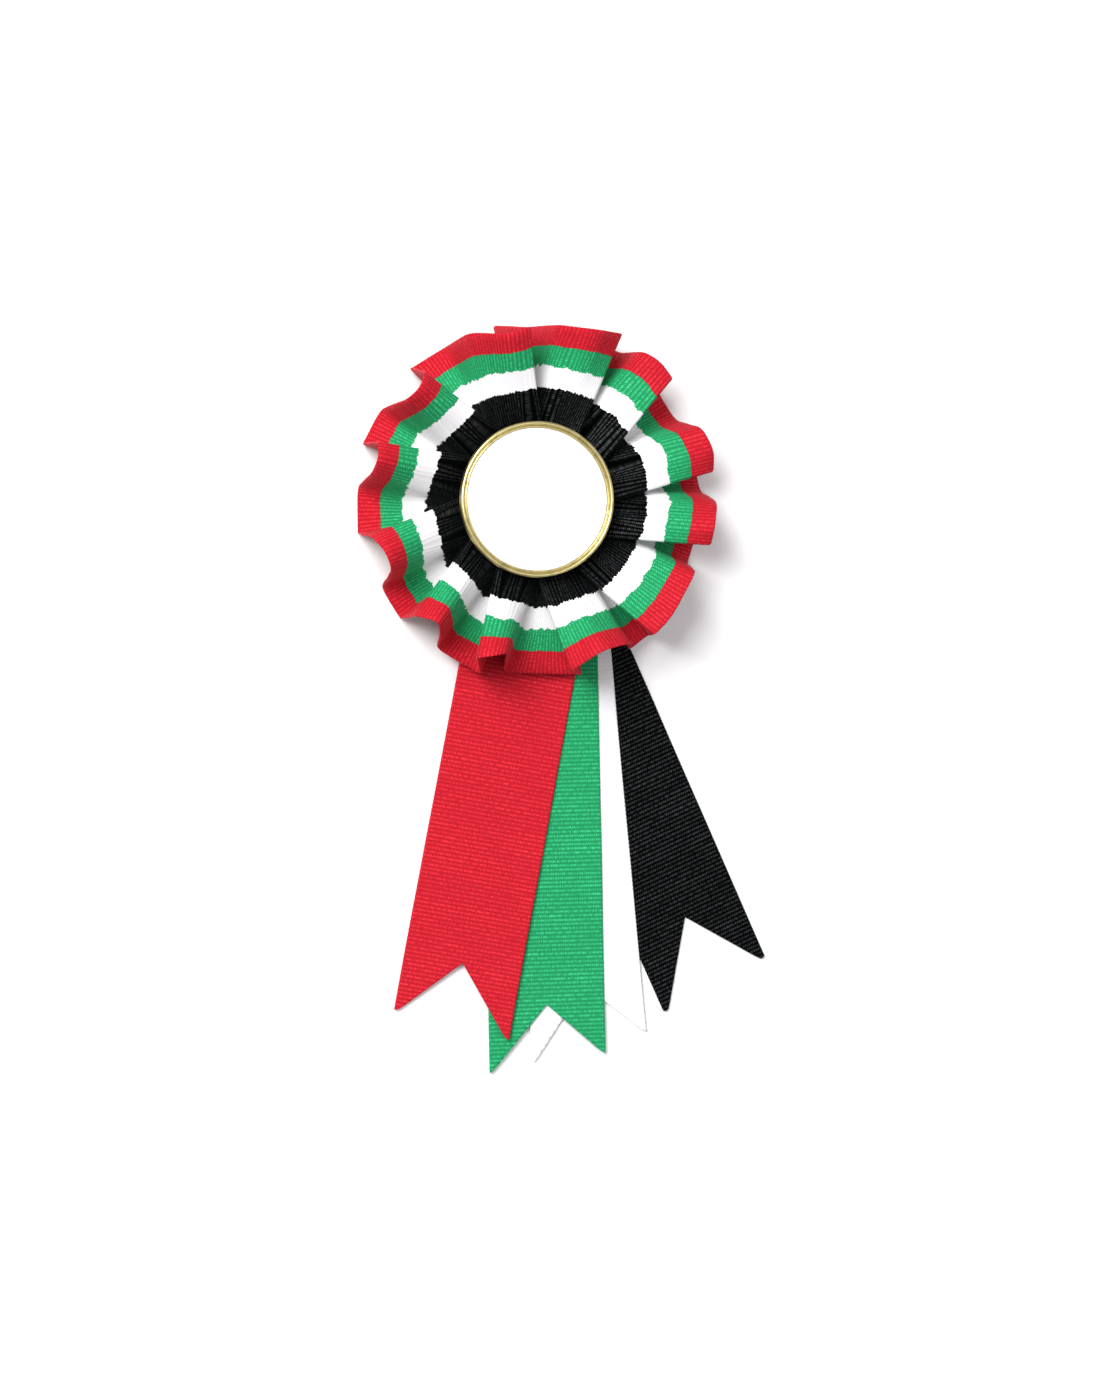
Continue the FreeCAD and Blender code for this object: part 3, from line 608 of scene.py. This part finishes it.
def pleatLines():
    pitch = 360.0 / len(pleats)
    rise = ruffle["foldRise"]
    slope = 2 * rise / pitch
    top = ruffle["bottom"] + ruffle["frameWall"] / 2 + slope * lineKinds[-1]["ahead"]
    lines = []
    for number, pleat in enumerate(pleats):
        inner = ruffle["innerAngle"] + number * pitch
        wrap = 360.0 if pleat["foldAngle"] < inner - 180 else 0.0
        afterAngle = pleats[(number + 1) % len(pleats)]["foldAngle"]
        while afterAngle < pleat["foldAngle"] + wrap:
            afterAngle += 360.0
        backAngle = afterAngle + pleat["tuckAngle"]
        outerEnds = {
            "foldUnder": (pleat["foldAngle"] + wrap, pleat["foldHeight"] - rise),
            "foldTop": (pleat["foldAngle"] + wrap, pleat["foldHeight"]),
            "ridge": (pleat["ridgeAngle"] + wrap, pleat["ridgeHeight"]),
            "bend": (pleat["bendAngle"] + wrap, pleat["bendHeight"]),
            "valley": (pleat["valleyAngle"] + wrap, pleat["valleyHeight"]),
            "backLow": (backAngle, pleat["tuckHeight"]),
            "backHigh": (backAngle, pleat["tuckHeight"] + ruffle["backLift"] * rise),
        }
        raised = {"foldUnder": -rise, "backHigh": rise}
        for kind in lineKinds:
            innerHeight = top - slope * kind["ahead"] + raised.get(kind["line"], 0.0)
            outerAngle, outerHeight = outerEnds[kind["line"]]
            points = ribLine(inner + kind["ahead"], innerHeight, outerAngle, outerHeight, kind["power"])
            lines.append({"points": points, "kind": kind, "softness": pleat["softness"]})
    return lines


# A closed path through the lines at one row, with every corner rounded into a small curve
def cornerPath(lines, row):
    share = row / ruffle["rows"]
    t = np.linspace(0, 1, ruffle["cornerParts"] + 1)[:, None]
    path = []
    for number, line in enumerate(lines):
        kind = line["kind"]
        here = line["points"][row]
        before = lines[number - 1]["points"][row] - here
        beyond = lines[(number + 1) % len(lines)]["points"][row] - here
        outerTrim = kind["crispTrim"] + (kind["softTrim"] - kind["crispTrim"]) * line["softness"]
        trim = kind["innerTrim"] + (outerTrim - kind["innerTrim"]) * share
        enter = here + before * min(trim / np.linalg.norm(before), ruffle["longestTrim"])
        leave = here + beyond * min(trim / np.linalg.norm(beyond), ruffle["longestTrim"])
        path.append(enter * (1 - t) ** 2 + here * (2 * t * (1 - t)) + leave * t ** 2)
    return np.concatenate(path)


# The pleated ribbon's middle surface, with a whole number of ribs round its outer edge
def ruffleSurface():
    lines = pleatLines()
    paths = [cornerPath(lines, row) for row in range(ruffle["rows"] + 1)]
    paths = [np.concatenate([path, path[:1]]) for path in paths]
    lengths = np.linalg.norm(np.diff(paths[-1], axis=0), axis=1)
    ribs = round(lengths.sum() / weave["ribSpacing"])
    ribAt = np.concatenate([[0.0], np.cumsum(lengths)]) * ribs / lengths.sum()
    places = np.arange(ribs * weave["columnsPerRib"]) / weave["columnsPerRib"]
    points = np.array([[np.interp(places, ribAt, path[:, axis]) for axis in range(3)] for path in paths])
    points = points.transpose(0, 2, 1)
    alongStep = np.roll(points, -2, axis=1) - np.roll(points, 2, axis=1)
    normals = unit(np.cross(np.gradient(points, axis=0), alongStep))
    rows = len(paths)
    bumps = ruffle["crumpleRound"]
    for row in range(rows):
        share = row / (rows - 1)
        for column, place in enumerate(places):
            turn = 2 * math.pi * place / ribs
            spot = Vector((bumps * math.cos(turn), bumps * math.sin(turn), ruffle["crumpleAcross"] * share))
            points[row, column] += normals[row, column] * (ruffle["crumple"] * share * noise.noise(spot))
    return {
        "points": points,
        "normals": normals,
        "sides": (unit(points[0] - points[1]), unit(points[-1] - points[-2])),
        "ribPlace": np.tile(places, (rows, 1)),
        "across": np.repeat(np.linspace(0, weave["width"], rows)[:, None], len(places), axis=1),
        "closed": True,
    }


badge = {
    "radius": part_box("badge_rim")[1].x / mm,
    "top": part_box("badge_rim")[1].z / mm,
    "discRadius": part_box("badge_disc")[1].x / mm,
    "discLow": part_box("badge_disc")[0].z / mm,
    "discHigh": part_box("badge_disc")[1].z / mm,
    "postRadius": 4.0,
    "bead": 0.42,  # radius of the rolled lip
    "innerBead": 0.18,  # a finer bead inside it
    "footRound": 0.5,
    "floor": 0.9,
    "clearance": 0.05,  # between the insert and the cup
    "neck": 0.12,  # how far the wall is drawn in under the lip
    "neckSpan": (0.2, 0.35),  # where that starts and ends, above the foot's rounding
    "lipGap": 0.1,  # straight wall under the lip
    "cardBevel": 0.08,
    "cardRound": 0.12,
    "discDome": 0.3,
    "segments": 192,
    "crease": 40.0,  # a sharper corner than this stays crisp
}


def arcPoints(center, radius, startAngle, endAngle, parts):
    angles = np.radians(np.linspace(startAngle, endAngle, parts + 1))
    return [(center[0] + radius * math.cos(a), center[1] + radius * math.sin(a)) for a in angles]


# A closed shape turned about the vertical axis; the profile starts and ends on the axis
def spinProfile(name, profile, material):
    segments = badge["segments"]
    verts, rings = [], []
    for radius, height in profile:
        if radius == 0:
            rings.append([len(verts)] * segments)
            verts.append((0.0, 0.0, height * mm))
            continue
        rings.append(list(range(len(verts), len(verts) + segments)))
        for part in range(segments):
            turn = 2 * math.pi * part / segments
            verts.append((radius * mm * math.cos(turn), radius * mm * math.sin(turn), height * mm))
    faces = []
    for low, high in zip(rings, rings[1:]):
        for part in range(segments):
            corners = [low[part], low[(part + 1) % segments], high[(part + 1) % segments], high[part]]
            faces.append(list(dict.fromkeys(corners)))
    mesh = bpy.data.meshes.new(name)
    mesh.from_pydata(verts, [], faces)
    shape = bmesh.new()
    shape.from_mesh(mesh)
    bmesh.ops.recalc_face_normals(shape, faces=shape.faces)
    shape.to_mesh(mesh)
    shape.free()
    mesh.materials.append(material)
    mesh.polygons.foreach_set("use_smooth", [True] * len(mesh.polygons))
    mesh.set_sharp_from_angle(angle=math.radians(badge["crease"]))
    thing = addObject(name, mesh)
    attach(thing, "root")
    return thing


def makeBadge():
    radius, top, bead = badge["radius"], badge["top"], badge["bead"]
    low = badge["discLow"] - badge["floor"]
    wall = badge["discRadius"] + badge["clearance"]
    foot, neck, fine = badge["footRound"], radius - badge["neck"], badge["innerBead"]
    profile = [(0, backingTop), (badge["postRadius"], backingTop), (badge["postRadius"], low)]
    profile += arcPoints((radius - foot, low + foot), foot, -90, 0, 6)
    neckStart, neckEnd = badge["neckSpan"]
    profile += [(radius, low + foot + neckStart), (neck, low + foot + neckEnd)]
    profile += [(neck, top - 2 * bead - badge["lipGap"])]
    profile += arcPoints((radius - bead, top - bead), bead, -30, 180, 16)
    profile += arcPoints((wall + fine, top - bead - fine), fine, 20, 180, 8)
    profile += [(wall, badge["discLow"]), (0, badge["discLow"])]
    rim = spinProfile("brassRim", profile, makeBrass())
    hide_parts("badge_rim")

    edge, high, under = badge["discRadius"], badge["discHigh"], badge["discLow"]
    bevel, rounding = badge["cardBevel"], badge["cardRound"]
    disc = [(0, under), (edge - bevel, under), (edge, under + bevel)]
    disc += arcPoints((edge - rounding, high - rounding), rounding, 0, 90, 4)
    for share in np.linspace(0.9, 0, 10):
        disc.append((edge * share, high + badge["discDome"] * (1 - share ** 2)))
    insert = spinProfile("whiteInsert", disc, makeSurface("coatedCard"))
    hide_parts("badge_disc")


def dressHiddenParts():
    for node, name in (("back_disc", "woolFelt"), ("brooch_pin", "nickelPlatedSteel")):
        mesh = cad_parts[node].data
        mesh.materials.clear()
        mesh.materials.append(makeSurface(name))


pleatedRibbon = makeRibbon("pleatedRibbon", ruffleSurface(), stripedRibbon)
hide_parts("ruffle")
print("pleated ribbon made,", len(pleatedRibbon.data.polygons), "faces")

for stackPlace, tail in enumerate(tails):
    strip = makeRibbon(tail["name"], tailSurface(tail, stackPlace), tailMaterials[tail["name"]])
    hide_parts(tail["node"])
    print(tail["name"], "made,", len(strip.data.polygons), "faces")

makeBadge()
dressHiddenParts()
print("badge and backing made")

studio = {
    "floorColor": "#fbfbfa",
    "floorRoughness": 0.9,
    "floorGloss": 0.1,
    "floorReach": 3.0,  # metres each way
    "worldColor": "#f8f6ff",
    "worldStrength": 0.27,
    "lights": [  # place in metres, size, watts
        ((-0.5, 0.35, 0.95), 0.55, 15.5),
        ((0.35, -0.15, 1.1), 1.3, 4.5),
    ],
    "lightAim": (0, -0.04, 0),
    "tilt": 12.0,  # the camera leans to the object's left
    "distance": 900.0,
    "mmPerPixel": 0.2146,  # on the table
    "frameSize": (1120, 1400),
    "badgePixel": (538, 499),
    "sensor": 36.0,
    "nearClip": 0.05,
}


def buildStudio():
    mesh = bpy.data.meshes.new("floor")
    reach = studio["floorReach"]
    corners = [(-reach, -reach, 0), (reach, -reach, 0), (reach, reach, 0), (-reach, reach, 0)]
    mesh.from_pydata(corners, [], [(0, 1, 2, 3)])
    material, tree = newMaterial("paintedBoard")
    shader = addNode(tree, "ShaderNodeBsdfPrincipled", None, {
        "Base Color": linearColor(studio["floorColor"]), "Roughness": studio["floorRoughness"],
        "Specular IOR Level": studio["floorGloss"]})
    addNode(tree, "ShaderNodeOutputMaterial", None, {"Surface": shader})
    mesh.materials.append(material)
    addObject("floor", mesh)

    world = bpy.data.worlds.new("studio")
    world.use_nodes = True
    background = world.node_tree.nodes["Background"]
    background.inputs["Color"].default_value = linearColor(studio["worldColor"])
    background.inputs["Strength"].default_value = studio["worldStrength"]
    bpy.context.scene.world = world

    for number, (spot, width, watts) in enumerate(studio["lights"]):
        light = bpy.data.lights.new("softbox%d" % number, "AREA")
        light.shape = "SQUARE"
        light.size = width
        light.energy = watts
        lamp = addObject(light.name, light)
        lamp.location = spot
        lamp.rotation_euler = (Vector(studio["lightAim"]) - lamp.location).to_track_quat("-Z", "Y").to_euler()


def placeCamera():
    tilt = math.radians(studio["tilt"])
    right = Vector((math.cos(tilt), 0, math.sin(tilt)))
    up = Vector((0, 1, 0))
    back = Vector((-math.sin(tilt), 0, math.cos(tilt)))
    wide, high = studio["frameSize"]
    ringCenter = Vector((0, 0, badge["top"]))
    depth = studio["distance"] - ringCenter.dot(back)
    scale = studio["mmPerPixel"] * depth / studio["distance"]
    aimRight = ringCenter.dot(right) - (studio["badgePixel"][0] - wide / 2) * scale
    aimUp = ringCenter.dot(up) + (studio["badgePixel"][1] - high / 2) * scale
    data = bpy.data.cameras.new("camera")
    data.sensor_width = studio["sensor"]
    data.lens = studio["sensor"] * studio["distance"] / (high * studio["mmPerPixel"])
    data.clip_start = studio["nearClip"]
    camera = addObject("camera", data)
    camera.location = (right * aimRight + up * aimUp + back * studio["distance"]) * mm
    camera.rotation_euler = Matrix((right, up, back)).transposed().to_euler()
    bpy.context.scene.camera = camera


buildStudio()
placeCamera()
bpy.context.scene.view_settings.view_transform = "Standard"
print("studio ready")
